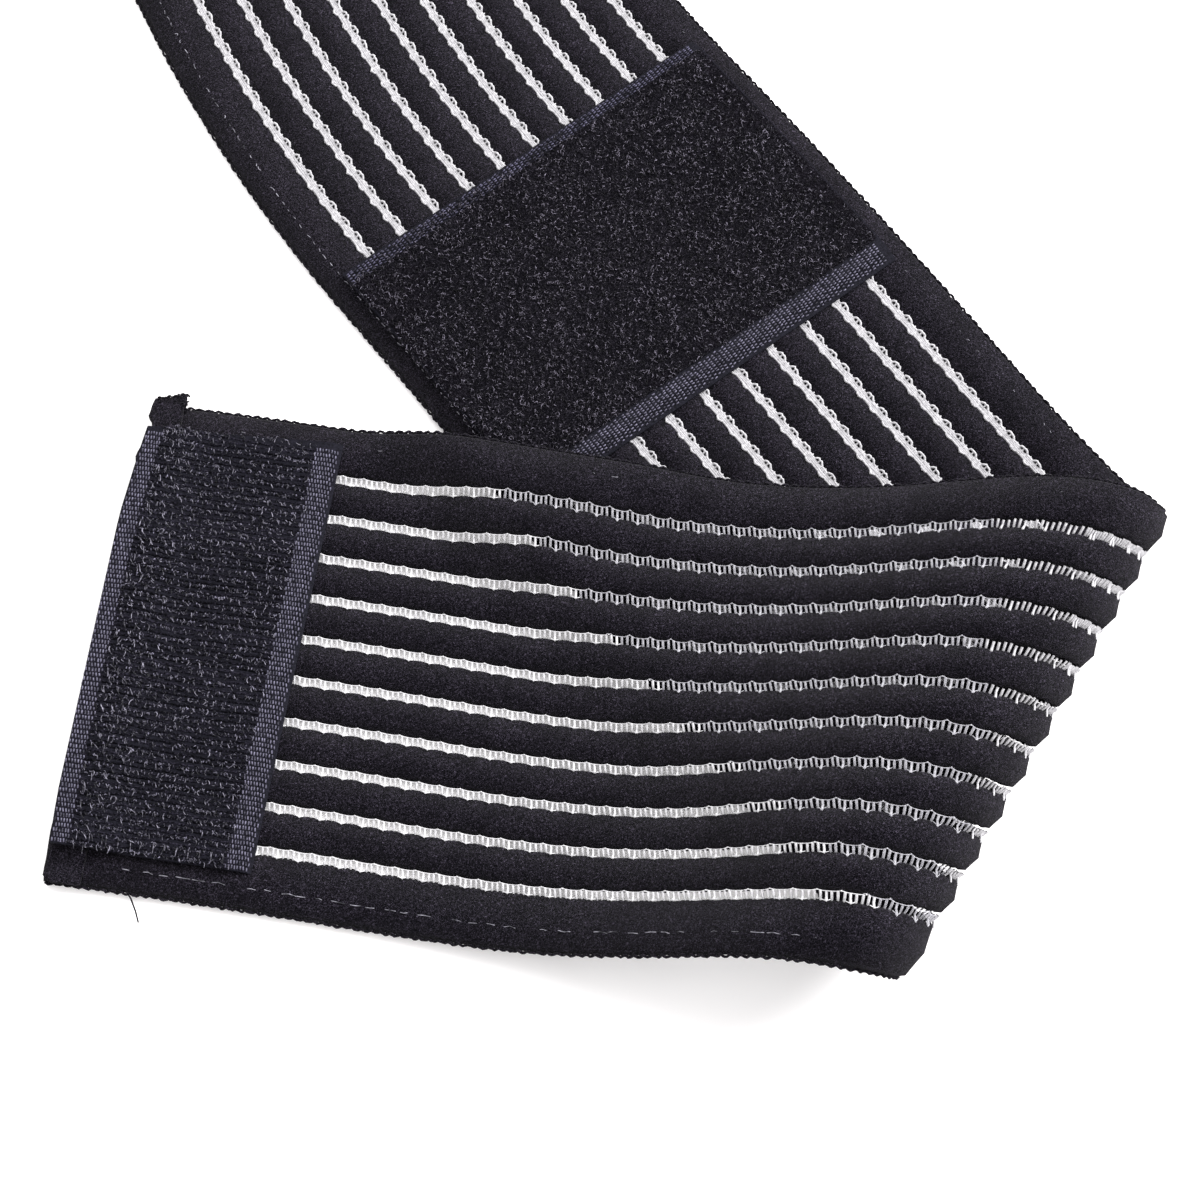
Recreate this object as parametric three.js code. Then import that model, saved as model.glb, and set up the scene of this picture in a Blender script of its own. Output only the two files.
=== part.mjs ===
// Ankle support: a ribbed elastic band, folded over once, with a hook tape and a loop pad. Millimetres, +Z up.
// The band is drawn as a flat strip (u along it from the hook end, v across it) and then laid over a fold.
import * as THREE from "three";

const DEGREE = Math.PI / 180;

// The knitted band, flat.
const BAND = { width: 80, length: 400, thickness: 2 };
const GROOVE = {
  count: 10,
  margin: 9.3, // from the band's edge to the middle of the first groove
  floor: 1.1,
  mouth: 1.96,
  webThickness: 0.9,
};
const EDGE = { round: 0.5, shoulderShare: 0.86 }; // the selvedge, its shoulder as a share of the half thickness
const HEM = {
  depth: 6,
  rise: 1.4, // of the turned-over layer above the face it is sewn to
  slope: 1.5,
  round: 0.6,
  roundShare: 0.45, // of the thickness that is left at the folded edge
  flare: 1.5, // the turned layer reaches past the band's edge
  flareShare: 0.75, // of the half width that takes part in the flare
};

// The fold. Its line crosses the strip at an angle, and the strip turns over along it.
const FOLD = {
  at: 163.7, // from the hook end, on the strip's middle line
  lineAngle: 58.6 * DEGREE, // of the fold line in plan, from +X
  stripAngle: 66.6 * DEGREE, // between the strip and the fold line
  rise: 95, // length of strip, square to the fold line, that climbs from the lying run to the fold
  tuck: 23, // and from there back down under itself
  taper: -0.0016, // growth of the arch's height per mm along the fold line
};
// Plan position of the fold's outermost line, which puts the middle of the whole part on the origin.
const PLACE = { x: 76.92, y: -84.81 };

// Tilt of the strip in degrees on its way over the fold: a negative share is of FOLD.rise, a positive one of FOLD.tuck.
const ARCH = [
  { share: -1, tilt: 0 },
  { share: -0.79, tilt: 9 },
  { share: -0.63, tilt: 22.5 },
  { share: -0.495, tilt: 29.3 },
  { share: -0.39, tilt: 27 },
  { share: -0.295, tilt: 9.5 },
  { share: -0.21, tilt: -23 },
  { share: -0.126, tilt: -75 },
  { share: -0.053, tilt: -132 },
  { share: 0.13, tilt: -170 },
  { share: 1, tilt: -180 },
];
const ARCH_STEP = 0.25; // of the integration along the arch
const ARCH_SOFTEN = 4; // steps to each side that a tilt is averaged over

// Heading of the strip's middle line in its own plane, in degrees, at shares of its length.
const BEND = [
  { share: 0, heading: 0 },
  { share: 0.15, heading: -2.6 },
  { share: 0.3, heading: -1.8 },
  { share: 0.55, heading: -0.8 },
  { share: 0.7, heading: -3.4 },
  { share: 0.85, heading: 9.7 },
  { share: 1, heading: 9.7 },
];

// Where the run on top climbs onto the run beneath it: the slope reaches from `outside` to `inside` of its edge.
const CLIMB = { clearance: 0.5, outside: 12, inside: 2, padLead: 6 };

// The two sewn-on patches. Margins are from the band's edges, `inset` from its end and `past` from the fold.
const TAPE = { inset: 0.4, along: 31, topMarginAtEnd: 5.4, topMargin: 3.3, bottomMargin: 5.5, thickness: 1.3, settle: 6 };
const PAD = { past: 69.1, along: 52.6, topMargin: 3.6, bottomMargin: 3.6, thickness: 1.8 };
const PATCH = { chamferShare: 0.25, across: [0.25, 0.5, 0.75], tapeColumns: 14, padColumns: 6 };
const GAP = 0.3; // between two pieces

// Spacing of the cross sections.
const SPACING = { lying: 6, arch: 8, turn: 11, lead: 58, rest: 12 };

const lerp = (a, b, t) => a + (b - a) * t;
const clamp = (x, low, high) => Math.min(high, Math.max(low, x));
const smooth = (t) => t * t * (3 - 2 * t);

// Straight-line reading of a table's named column at a position.
function read(rows, place, column, x) {
  if (x <= place(rows[0])) return rows[0][column];
  for (let i = 1; i < rows.length; i++) {
    const [from, to] = [place(rows[i - 1]), place(rows[i])];
    if (x <= to) return lerp(rows[i - 1][column], rows[i][column], (x - from) / (to - from));
  }
  return rows[rows.length - 1][column];
}

// Middle line of the flat strip, one entry per millimetre.
const middleLine = [{ x: 0, y: 0, heading: 0 }];
for (let u = 1; u <= Math.ceil(BAND.length); u++) {
  const heading = read(BEND, (row) => row.share * BAND.length, "heading", u - 0.5) * DEGREE;
  const last = middleLine[u - 1];
  middleLine.push({ x: last.x + Math.cos(heading), y: last.y + Math.sin(heading), heading });
}
function flat(u, v) {
  const i = clamp(Math.floor(u), 0, middleLine.length - 2);
  const [a, b] = [middleLine[i], middleLine[i + 1]];
  const heading = lerp(a.heading, b.heading, u - i);
  return {
    x: lerp(a.x, b.x, u - i) - v * Math.sin(heading) - FOLD.at,
    y: lerp(a.y, b.y, u - i) + v * Math.cos(heading),
  };
}

// The strip seen along the fold line: reach from the fold's outermost line, height above the lying strip, tilt.
const tiltPlace = ({ share }) => share * (share < 0 ? FOLD.rise : FOLD.tuck);
const archFrom = -BAND.length - BAND.width;
const arch = (() => {
  const steps = Math.round((-2 * archFrom) / ARCH_STEP);
  const raw = (i) => read(ARCH, tiltPlace, "tilt", archFrom + i * ARCH_STEP) * DEGREE;
  const out = [{ reach: 0, height: 0, tilt: raw(0) }];
  for (let i = 1; i <= steps; i++) {
    let tilt = 0;
    for (let k = -ARCH_SOFTEN; k <= ARCH_SOFTEN; k++) tilt += raw(i + k) / (2 * ARCH_SOFTEN + 1);
    const last = out[i - 1];
    const mean = (last.tilt + tilt) / 2;
    out.push({
      reach: last.reach + Math.cos(mean) * ARCH_STEP,
      height: last.height + Math.sin(mean) * ARCH_STEP,
      tilt,
    });
  }
  // The run beneath ends up lying at the height that the run on top starts from.
  const error = out[steps].height;
  out.forEach((p, i) => {
    const along = archFrom + i * ARCH_STEP;
    p.height -= error * clamp((along + FOLD.rise) / (FOLD.tuck + FOLD.rise), 0, 1);
  });
  const outermost = Math.max(...out.map((p) => p.reach));
  out.forEach((p) => (p.reach -= outermost));
  return out;
})();
function archAt(along) {
  const s = (along - archFrom) / ARCH_STEP;
  const i = clamp(Math.floor(s), 0, arch.length - 2);
  const [a, b] = [arch[i], arch[i + 1]];
  return {
    reach: lerp(a.reach, b.reach, s - i),
    height: lerp(a.height, b.height, s - i),
    tilt: lerp(a.tilt, b.tilt, s - i),
  };
}

// Distance of a strip point square to the fold line, and its place along that line.
function foldShares(u, v) {
  const { x, y } = flat(u, v);
  return {
    along: x * Math.sin(FOLD.stripAngle) - y * Math.cos(FOLD.stripAngle),
    line: x * Math.cos(FOLD.stripAngle) + y * Math.sin(FOLD.stripAngle),
  };
}
const plan = (reach, line) => ({
  x: PLACE.x + reach * Math.sin(FOLD.lineAngle) + line * Math.cos(FOLD.lineAngle),
  y: PLACE.y - reach * Math.cos(FOLD.lineAngle) + line * Math.sin(FOLD.lineAngle),
});
const beneath = (u, v) => {
  const { along, line } = foldShares(u, v);
  return plan(archAt(along).reach, line);
};

const half = BAND.width / 2;
const padFrom = FOLD.at + PAD.past;
// The lines that the run on top climbs over: the edge of the run beneath, and the foot of the pad on it.
const ledge = { a: beneath(FOLD.at + FOLD.tuck, -half), b: beneath(padFrom + PAD.along, -half) };
const padFoot = { a: beneath(padFrom, -half), b: beneath(padFrom, half) };
function rightOf({ a, b }, x, y) {
  return ((b.y - a.y) * (x - a.x) - (b.x - a.x) * (y - a.y)) / Math.hypot(b.x - a.x, b.y - a.y);
}
function climb(x, y) {
  const step = (past) => smooth(clamp((past + CLIMB.outside) / (CLIMB.outside + CLIMB.inside), 0, 1));
  const overEdge = step(rightOf(ledge, x, y));
  const overPad = overEdge * step(CLIMB.padLead - rightOf(padFoot, x, y));
  return (BAND.thickness + CLIMB.clearance) * overEdge + (PAD.thickness + GAP) * overPad;
}

// A point of the laid strip; w is its distance from the strip's middle surface, positive on the upper side at the hook end.
function laid(u, v, w) {
  const { along, line } = foldShares(u, v);
  const { reach, height, tilt } = archAt(along);
  const p = plan(reach, line);
  const grown = height * (1 + FOLD.taper * clamp(line, -half, half));
  const lift = along < 0 ? climb(p.x, p.y) : 0;
  const q = plan(reach - Math.sin(tilt) * w, line);
  return new THREE.Vector3(q.x, q.y, BAND.thickness / 2 + grown + lift + Math.cos(tilt) * w);
}

// A closed body from rings of paired upper and lower points, with a point at each edge.
function loft(rings) {
  const n = rings[0].upper.length;
  const size = 2 * n + 2;
  const positions = rings.flatMap(({ start, upper, end, lower }) =>
    [start, ...upper, end, ...[...lower].reverse()].flatMap((p) => [p.x, p.y, p.z]),
  );
  const index = [];
  for (let i = 0; i + 1 < rings.length; i++)
    for (let j = 0; j < size; j++) {
      const [a, b] = [i * size + j, i * size + ((j + 1) % size)];
      index.push(a, b, b + size, a, b + size, a + size);
    }
  const cap = (base, flip) => {
    const up = (j) => base + 1 + j;
    const low = (j) => base + size - 1 - j;
    const face = (a, b, c) => (flip ? index.push(a, c, b) : index.push(a, b, c));
    face(base, up(0), low(0));
    for (let j = 0; j + 1 < n; j++) {
      face(up(j), up(j + 1), low(j + 1));
      face(up(j), low(j + 1), low(j));
    }
    face(up(n - 1), base + n + 1, low(n - 1));
  };
  cap(0, true);
  cap((rings.length - 1) * size, false);
  const geometry = new THREE.BufferGeometry();
  geometry.setAttribute("position", new THREE.Float32BufferAttribute(positions, 3));
  geometry.setIndex(index);
  geometry.computeVertexNormals();
  return geometry;
}

// The band's section: thick ribs and thin grooves, the same on both faces.
const web = GROOVE.webThickness / 2;
const full = BAND.thickness / 2;
const groovePitch = (BAND.width - 2 * GROOVE.margin) / (GROOVE.count - 1);
const section = [
  { v: half - EDGE.round, w: EDGE.shoulderShare * full },
  ...Array.from({ length: GROOVE.count }, (_, k) => half - GROOVE.margin - k * groovePitch).flatMap((v) => [
    { v: v + GROOVE.mouth / 2, w: full },
    { v: v + GROOVE.floor / 2, w: web },
    { v: v - GROOVE.floor / 2, w: web },
    { v: v - GROOVE.mouth / 2, w: full },
  ]),
  { v: -half + EDGE.round, w: EDGE.shoulderShare * full },
];

// Stations along the band. Near the fold they run parallel to it, at the ends square to the band.
const alongToU = (along) => FOLD.at + along / Math.sin(FOLD.stripAngle);
const hemEnd = HEM.depth + HEM.slope;
const [archFoot, tuckEnd] = [alongToU(-FOLD.rise), alongToU(FOLD.tuck)];
const evenly = (from, to, spacing) => {
  const count = Math.max(1, Math.round((to - from) / spacing));
  return Array.from({ length: count }, (_, i) => lerp(from, to, (i + 1) / count));
};
const archStations = [];
for (let along = -FOLD.rise, last = { along, tilt: 0 }; along < FOLD.tuck; along += ARCH_STEP) {
  const { tilt } = archAt(along);
  if (along - last.along < SPACING.arch && Math.abs(tilt - last.tilt) < SPACING.turn * DEGREE) continue;
  archStations.push(alongToU(along));
  last = { along, tilt };
}
const stations = [
  ...[0, HEM.round, HEM.depth, hemEnd],
  ...evenly(hemEnd, archFoot, SPACING.lying),
  ...archStations,
  ...evenly(tuckEnd, BAND.length - hemEnd, SPACING.rest),
  ...[HEM.depth, HEM.round, 0].map((fromEnd) => BAND.length - fromEnd),
];
const lean = (u) =>
  (smooth(clamp((u - hemEnd) / (archFoot - hemEnd), 0, 1)) - smooth(clamp((u - tuckEnd) / SPACING.lead, 0, 1))) /
  Math.tan(FOLD.stripAngle);
const turned = (fromEnd) => HEM.rise * clamp((hemEnd - fromEnd) / HEM.slope, 0, 1);

const bandRings = stations.map((u) => {
  const [nearRise, farRise] = [turned(u), turned(BAND.length - u)];
  const rounding = Math.min(u, BAND.length - u) < HEM.round ? HEM.roundShare : 1;
  const flareFrom = half * (1 - HEM.flareShare);
  const flared = (v) => v + ((HEM.flare * nearRise) / HEM.rise) * clamp((v - flareFrom) / (half - flareFrom), 0, 1);
  const centre = (nearRise - farRise) / 2;
  const at = (v, w) => laid(clamp(u + lean(u) * v, 0, BAND.length), flared(v), centre + (w - centre) * rounding);
  return {
    start: at(half, centre),
    upper: section.map(({ v, w }) => at(v, w + nearRise)),
    end: at(-half, centre),
    lower: section.map(({ v, w }) => at(v, -w - farRise)),
  };
});

// A patch sewn on one face: `side` is 1 on the hook end's upper face and -1 on the other.
function patch({ from, along, top, bottom, thickness, side, rise, columns }) {
  const chamfer = PATCH.chamferShare * thickness;
  return loft(
    Array.from({ length: columns + 1 }, (_, i) => {
      const u = from + (along * i) / columns;
      const pinch = i === 0 || i === columns ? chamfer : 0;
      const base = full + GAP + rise(u);
      const [high, low] = [top(u) - chamfer, bottom + chamfer];
      const outer = (v) => laid(u, v, side * (base + thickness - pinch));
      const inner = (v) => laid(u, v, side * (base + pinch / 2));
      const edge = (v) => laid(u, v, side * (base + thickness / 2));
      const across = [high, ...PATCH.across.map((t) => lerp(high, low, t)), low];
      const [upper, lower] = side > 0 ? [outer, inner] : [inner, outer];
      return { start: edge(top(u)), upper: across.map(upper), end: edge(bottom), lower: across.map(lower) };
    }),
  );
}
const tape = patch({
  ...TAPE,
  from: TAPE.inset,
  top: (u) => half - lerp(TAPE.topMarginAtEnd, TAPE.topMargin, (u - TAPE.inset) / TAPE.along),
  bottom: -half + TAPE.bottomMargin,
  side: 1,
  rise: (u) => HEM.rise * clamp((HEM.depth + TAPE.settle - u) / TAPE.settle, 0, 1),
  columns: PATCH.tapeColumns,
});
const pad = patch({
  ...PAD,
  from: padFrom,
  top: () => half - PAD.topMargin,
  bottom: -half + PAD.bottomMargin,
  side: -1,
  rise: () => 0,
  columns: PATCH.padColumns,
});

const group = new THREE.Group();
function add(name, geometry, color, roughness) {
  const material = new THREE.MeshStandardMaterial({ color, roughness, metalness: 0 });
  const mesh = new THREE.Mesh(geometry, material);
  mesh.name = name;
  group.add(mesh);
}
add("elastic_band", loft(bandRings), 0x2c2c31, 0.95);
add("hook_tape", tape, 0x40434d, 0.7);
add("loop_pad", pad, 0x191a1f, 1);

export default group;
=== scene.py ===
"""Ankle support: an elastic knitted wrap band, folded over once, with a hook tape and a loop pad."""

import math

import bmesh
import bpy
import numpy as np
from mathutils import Matrix, Vector


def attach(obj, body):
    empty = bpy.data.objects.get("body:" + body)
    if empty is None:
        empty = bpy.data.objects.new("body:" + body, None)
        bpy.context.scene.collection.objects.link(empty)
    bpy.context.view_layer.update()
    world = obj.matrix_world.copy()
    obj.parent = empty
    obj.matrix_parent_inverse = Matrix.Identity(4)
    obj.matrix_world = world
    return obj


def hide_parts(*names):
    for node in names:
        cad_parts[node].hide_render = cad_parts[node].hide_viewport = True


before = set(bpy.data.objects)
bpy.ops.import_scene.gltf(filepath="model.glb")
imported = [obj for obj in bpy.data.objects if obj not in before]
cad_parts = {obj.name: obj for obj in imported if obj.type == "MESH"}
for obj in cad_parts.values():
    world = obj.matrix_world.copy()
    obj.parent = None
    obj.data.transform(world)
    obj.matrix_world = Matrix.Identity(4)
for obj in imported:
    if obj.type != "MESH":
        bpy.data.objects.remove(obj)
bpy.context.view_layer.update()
MM = 0.001

# The photographer's place: a lens of fairly narrow angle on the near side of a white table, which looks
# steeply down at the band.
look_at = Vector((8.02, -66.01, 0)) * MM
tilt, roll, distance = math.radians(67.96), math.radians(-0.33), 408.4 * MM
backwards = Vector((0, -math.cos(tilt), math.sin(tilt)))
sideways = Vector((1, 0, 0))
upwards = backwards.cross(sideways)
right = sideways * math.cos(roll) + upwards * math.sin(roll)
camera_data = bpy.data.cameras.new("camera")
camera_data.angle = math.radians(25.72)
camera = bpy.data.objects.new("camera", camera_data)
turn = Matrix((right, backwards.cross(right), backwards)).transposed()
camera.matrix_world = Matrix.Translation(look_at + backwards * distance) @ turn.to_4x4()
bpy.context.scene.collection.objects.link(camera)
bpy.context.scene.camera = camera
bpy.context.scene.view_settings.view_transform = "Standard"


# The table is a bright white sheet; its slight glow is painted light, which lifts the shade under and
# beside the band and between its threads. A white room and a large soft lamp to the right and behind
# light it, with a weaker lamp to the left.
def linked(name, mesh):
    piece = bpy.data.objects.new(name, mesh)
    bpy.context.scene.collection.objects.link(piece)
    return piece


def new_material(name, roughness=0.9, sheen=0.0, specular=0.3):
    material = bpy.data.materials.new(name)
    material.use_nodes = True
    shader = material.node_tree.nodes["Principled BSDF"]
    shader.inputs["Roughness"].default_value = roughness
    shader.inputs["Sheen Weight"].default_value = sheen
    shader.inputs["Sheen Roughness"].default_value = 0.35
    shader.inputs["Specular IOR Level"].default_value = specular
    return material, shader


def add_node(tree, kind, inputs=(), **settings):
    node = tree.nodes.new(kind)
    for key, value in settings.items():
        setattr(node, key, value)
    for key, value in dict(inputs).items():
        if isinstance(value, bpy.types.NodeSocket):
            tree.links.new(value, node.inputs[key])
        else:
            node.inputs[key].default_value = value
    return node


def two_shades(tree, shader, share, dark, light, low=0.0, high=1.0):
    """Colours a material between two shades, from where `share` is `low` to where it is `high`."""
    paint = add_node(tree, "ShaderNodeValToRGB", {"Fac": share})
    for stop, place, shade in zip(paint.color_ramp.elements, (low, high), (dark, light)):
        stop.position, stop.color = place, (*shade, 1)
    tree.links.new(paint.outputs["Color"], shader.inputs["Base Color"])
    return paint.outputs["Color"]


def finished_mesh(bm, name):
    mesh = bpy.data.meshes.new(name)
    bm.to_mesh(mesh)
    bm.free()
    return mesh


TABLE_HALF = 1.5  # metres
bm = bmesh.new()
bmesh.ops.create_grid(bm, x_segments=4, y_segments=4, size=TABLE_HALF)
table_mesh = finished_mesh(bm, "table")
table = linked("table", table_mesh)
table_material, shader = new_material("white_table", roughness=0.8)
tree = table_material.node_tree
grain = add_node(tree, "ShaderNodeTexNoise", {"Scale": 40.0, "Detail": 3.0})
white = two_shades(tree, shader, grain.outputs["Fac"], (0.915, 0.9, 0.905), (0.93, 0.915, 0.92))
# The glow is painted light: the table's own white sent out as emission, so its shadows stay pale.
tree.links.new(white, shader.inputs["Emission Color"])
shader.inputs["Emission Strength"].default_value = 0.2
table_mesh.materials.append(table_material)

world = bpy.data.worlds.new("white_room")
world.use_nodes = True
world.node_tree.nodes["Background"].inputs["Color"].default_value = (1, 0.995, 0.99, 1)
world.node_tree.nodes["Background"].inputs["Strength"].default_value = 1.18
bpy.context.scene.world = world


def soft_lamp(name, place, size, power):
    data = bpy.data.lights.new(name, "AREA")
    data.shape, data.size, data.energy = "DISK", size, power
    lamp = bpy.data.objects.new(name, data)
    place = Vector(place)
    lamp.matrix_world = Matrix.Translation(place) @ place.to_track_quat("Z", "Y").to_matrix().to_4x4()
    bpy.context.scene.collection.objects.link(lamp)


soft_lamp("soft_main", (0.95, 0.4, 0.6), 0.8, 30.0)
soft_lamp("soft_fill", (-0.4, 0.6, 1.0), 0.9, 6.0)

# The band is knitted flat, as an elastic strip 400 mm long, and lies folded over once. Everything on it is
# made flat too, in millimetres (u along it from the hook end, v across it, w off its middle surface), and
# laid over the same fold.
BAND_LENGTH, BAND_WIDTH, BAND_THICKNESS = 400.0, 80.0, 2.0
HALF, FACE = BAND_WIDTH / 2, BAND_THICKNESS / 2
FOLD_AT, FOLD_RISE, FOLD_TUCK, FOLD_TAPER = 163.7, 95.0, 23.0, -0.0016
LINE_ANGLE, STRIP_ANGLE = math.radians(58.6), math.radians(66.6)
FOLD_PLACE = np.array((76.92, -84.81))
ARCH = (  # share of the rise (negative) or of the tuck, tilt in degrees
    (-1, 0), (-0.79, 9), (-0.63, 22.5), (-0.495, 29.3), (-0.39, 27), (-0.295, 9.5),
    (-0.21, -23), (-0.126, -75), (-0.053, -132), (0.13, -170), (1, -180),
)
BEND = (  # share of the band's length, heading in degrees
    (0, 0), (0.15, -2.6), (0.3, -1.8), (0.55, -0.8), (0.7, -3.4), (0.85, 9.7), (1, 9.7),
)
TAPE_INSET, TAPE_ALONG = 0.4, 31.0
TAPE_TOP, TAPE_BOTTOM = (5.4, 3.3), 5.5  # margins from the band's edges; the first at the tape's two ends
PAD_PAST, PAD_ALONG, PAD_MARGIN, PAD_THICKNESS = 69.1, 52.6, 3.6, 1.8
HEM_DEPTH, HEM_RISE, HEM_FLARE, GAP = 6.0, 1.4, 1.5, 0.3
CLIMB_GAP, CLIMB_OUTSIDE, CLIMB_INSIDE, PAD_LEAD, TURN_FADE = 0.5, 12.0, 2.0, 6.0, 9.0

middle_u = np.arange(0, BAND_LENGTH + 1)
share, degrees = np.array(BEND).T
middle_heading = np.radians(np.interp(middle_u - 0.5, share * BAND_LENGTH, degrees))
middle_heading[0] = 0
middle_x = np.concatenate(([0], np.cumsum(np.cos(middle_heading[1:]))))
middle_y = np.concatenate(([0], np.cumsum(np.sin(middle_heading[1:]))))

ARCH_SPAN, ARCH_STEP, ARCH_SMOOTHED = 480, 0.25, 9  # the last in steps
arch_along = np.arange(-ARCH_SPAN, ARCH_SPAN + ARCH_STEP, ARCH_STEP)
share, degrees = np.array(ARCH).T
arch_tilt = np.radians(np.interp(arch_along, share * np.where(share < 0, FOLD_RISE, FOLD_TUCK), degrees))
arch_tilt = np.pad(arch_tilt, ARCH_SMOOTHED // 2, mode="edge")
arch_tilt = np.convolve(arch_tilt, np.ones(ARCH_SMOOTHED) / ARCH_SMOOTHED, "valid")
mean_tilt = (arch_tilt[1:] + arch_tilt[:-1]) / 2
arch_reach = np.concatenate(([0], np.cumsum(np.cos(mean_tilt)))) * ARCH_STEP
arch_height = np.concatenate(([0], np.cumsum(np.sin(mean_tilt)))) * ARCH_STEP
arch_height -= arch_height[-1] * np.clip((arch_along + FOLD_RISE) / (FOLD_RISE + FOLD_TUCK), 0, 1)
arch_reach -= arch_reach.max()


def fold_shares(u, v):
    heading = np.interp(u, middle_u, middle_heading)
    x = np.interp(u, middle_u, middle_x) - v * np.sin(heading) - FOLD_AT
    y = np.interp(u, middle_u, middle_y) + v * np.cos(heading)
    along = x * math.sin(STRIP_ANGLE) - y * math.cos(STRIP_ANGLE)
    return along, x * math.cos(STRIP_ANGLE) + y * math.sin(STRIP_ANGLE)


def plan(reach, line):
    x = FOLD_PLACE[0] + reach * math.sin(LINE_ANGLE) + line * math.cos(LINE_ANGLE)
    return x, FOLD_PLACE[1] - reach * math.cos(LINE_ANGLE) + line * math.sin(LINE_ANGLE)


def beneath(u, v):
    along, line = fold_shares(np.float64(u), np.float64(v))
    return plan(np.interp(along, arch_along, arch_reach), line)


pad_from = FOLD_AT + PAD_PAST
ledge = beneath(FOLD_AT + FOLD_TUCK, -HALF), beneath(pad_from + PAD_ALONG, -HALF)
pad_foot = beneath(pad_from, -HALF), beneath(pad_from, HALF)


def right_of(line, x, y):
    (ax, ay), (bx, by) = line
    return ((by - ay) * (x - ax) - (bx - ax) * (y - ay)) / math.hypot(bx - ax, by - ay)


def climb(x, y):
    """How much higher the run on top lies at a place, over the run beneath and over its pad."""

    def step(past):
        t = np.clip((past + CLIMB_OUTSIDE) / (CLIMB_OUTSIDE + CLIMB_INSIDE), 0, 1)
        return t * t * (3 - 2 * t)

    over_edge = step(right_of(ledge, x, y))
    over_pad = over_edge * step(PAD_LEAD - right_of(pad_foot, x, y))
    return (BAND_THICKNESS + CLIMB_GAP) * over_edge + (PAD_THICKNESS + GAP) * over_pad


def laid(flat):
    """Takes rows of (u, v, w) in millimetres to places on the table, in metres."""
    u, v, w = np.asarray(flat, float).T
    along, line = fold_shares(u, v)
    reach = np.interp(along, arch_along, arch_reach)
    height = np.interp(along, arch_along, arch_height) * (1 + FOLD_TAPER * np.clip(line, -HALF, HALF))
    angle = np.interp(along, arch_along, arch_tilt)
    lift = climb(*plan(reach, line)) * np.clip(-along / TURN_FADE, 0, 1)
    x, y = plan(reach - np.sin(angle) * w, line)
    return np.stack((x, y, FACE + height + lift + np.cos(angle) * w), -1) * MM


def places(mesh):
    """The mesh's vertices, as rows of three numbers."""
    co = np.empty(len(mesh.vertices) * 3)
    mesh.vertices.foreach_get("co", co)
    return co.reshape(-1, 3)


def lay_piece(name, mesh, material, smooth=True):
    """A mesh made flat becomes a piece on the laid band; its UV map `knit` keeps the flat places."""
    flat = places(mesh)
    corner = np.empty(len(mesh.loops), int)
    mesh.loops.foreach_get("vertex_index", corner)
    for old in list(mesh.uv_layers):
        mesh.uv_layers.remove(old)
    mesh.uv_layers.new(name="knit").data.foreach_set("uv", flat[corner, :2].ravel())
    mesh.vertices.foreach_set("co", laid(flat).ravel())
    mesh.materials.clear()
    mesh.materials.append(material)
    mesh.polygons.foreach_set("use_smooth", [smooth] * len(mesh.polygons))
    mesh.update()
    piece = linked(name, mesh)
    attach(piece, "root")
    return piece


# Black plush ribs, eleven side by side: fleecy yarn knitted round rubber, so each is a soft flat roll.
# Along each open stripe both ribs end in long low lobes, the lower rib's shifted by almost half a wave.
GROOVE_COUNT, GROOVE_MARGIN = 10, 9.3
GROOVE_ABOVE, GROOVE_BELOW = (0.98, 0.42), (0.2, 0.27)  # each on the near run and on the far run
GROOVE_TURN = FOLD_AT - 16, FOLD_AT + 4  # where the one goes over into the other
GROOVE_PITCH = (BAND_WIDTH - 2 * GROOVE_MARGIN) / (GROOVE_COUNT - 1)
WAVE, WAVE_SHIFT, NOTCH_HEIGHT, LOWER_SHIFT = 3.24, 0.37, 0.16, 0.375
SWELL_AT, SWELL_HEIGHT = -12.0, 0.75
EDGE_INSET, TOP_DRAWN_IN, TOP_RIB_START = 0.25, 1.2, 2.4
SIDE_SQUARED, FACE_SQUARED = 0.45, 0.62  # 1 would make a rib round
END_SHARE, END_ROUNDED = 0.55, 1.2
groove_middles = [HALF - GROOVE_MARGIN - k * GROOVE_PITCH for k in range(GROOVE_COUNT)]


def wave_phase(k):
    return WAVE_SHIFT * k * WAVE


def notch(u, k, shift=0.0):
    return NOTCH_HEIGHT * abs(math.cos(math.pi * ((u - wave_phase(k)) / WAVE - shift))) ** 3


def upper_edge(u, k):
    return groove_middles[k] + np.interp(u, GROOVE_TURN, GROOVE_ABOVE) + notch(u, k)


def lower_edge(u, k):
    return groove_middles[k] - np.interp(u, GROOVE_TURN, GROOVE_BELOW) - notch(u, k, LOWER_SHIFT)


def swell(u, v, spread=12.0):
    """Each rib bulges where the band turns over; this is 1 at the turn and falls to 0 on both sides."""
    return math.exp(-(((fold_shares(u, v)[0] - SWELL_AT) / spread) ** 2))


def top_edge(u):
    """The band's upper edge, drawn in a little at the turn."""
    return HALF - EDGE_INSET - TOP_DRAWN_IN * swell(u, HALF, 5)


def knitted_roll(bm, low, high, start, cells=880, around=8):
    """One rib as a closed roll between two edges, from the hook end to the far end."""
    made = bmesh.ops.create_grid(bm, x_segments=cells, y_segments=around, size=0.5)["verts"]
    for vert in made:
        u, angle = start + (vert.co.x + 0.5) * (BAND_LENGTH - start), 2 * math.pi * (vert.co.y + 0.5)
        side, rise = math.cos(angle), math.sin(angle)
        side = math.copysign(abs(side) ** SIDE_SQUARED, side)
        rise = math.copysign(abs(rise) ** FACE_SQUARED, rise)
        below, above = low(u), high(u)
        end = min(1, END_SHARE + min(u, BAND_LENGTH - u) / END_ROUNDED)
        v = (below + above) / 2 + side * (above - below) / 2
        vert.co = u, v, rise * end * (FACE + SWELL_HEIGHT * swell(u, v) * (1 - side * side) * (rise > 0))
    bmesh.ops.remove_doubles(bm, verts=made, dist=1e-4)


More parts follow.
